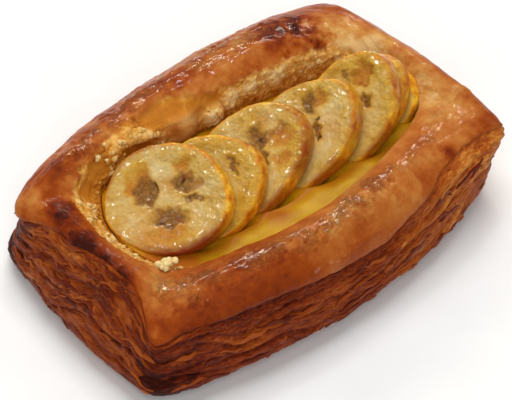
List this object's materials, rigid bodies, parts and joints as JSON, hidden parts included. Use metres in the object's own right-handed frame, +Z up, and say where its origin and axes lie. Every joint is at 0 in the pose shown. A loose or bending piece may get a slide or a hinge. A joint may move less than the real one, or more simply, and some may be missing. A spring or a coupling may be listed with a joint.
{
  "type": "banana custard Danish pastry",
  "caption": "Rectangular laminated Danish pastry with a puffed rim, a long well of custard and a row of overlapping baked banana slices.",
  "frame": {"origin": "centre of the footprint, on the flat underside that the pastry rests on", "axes": "+X along the pastry and its row of banana slices, +Y across it, +Z up"},
  "size_m": [0.113, 0.0786, 0.0287],
  "materials": {
    "baked_pastry": "egg-washed and glazed golden brown crust, darker on the edges of its layers",
    "custard": "smooth set custard with a soft shine",
    "baked_banana": "baked banana flesh under a thin clear glaze, golden at the cut edge"
  },
  "bodies": {
    "root": {"pastry_case": "baked_pastry", "custard": "custard", "banana_slice_1": "baked_banana", "banana_slice_2": "baked_banana", "banana_slice_3": "baked_banana", "banana_slice_4": "baked_banana", "banana_slice_5": "baked_banana", "banana_slice_6": "baked_banana", "banana_slice_7": "baked_banana"}
  },
  "joints": []
}
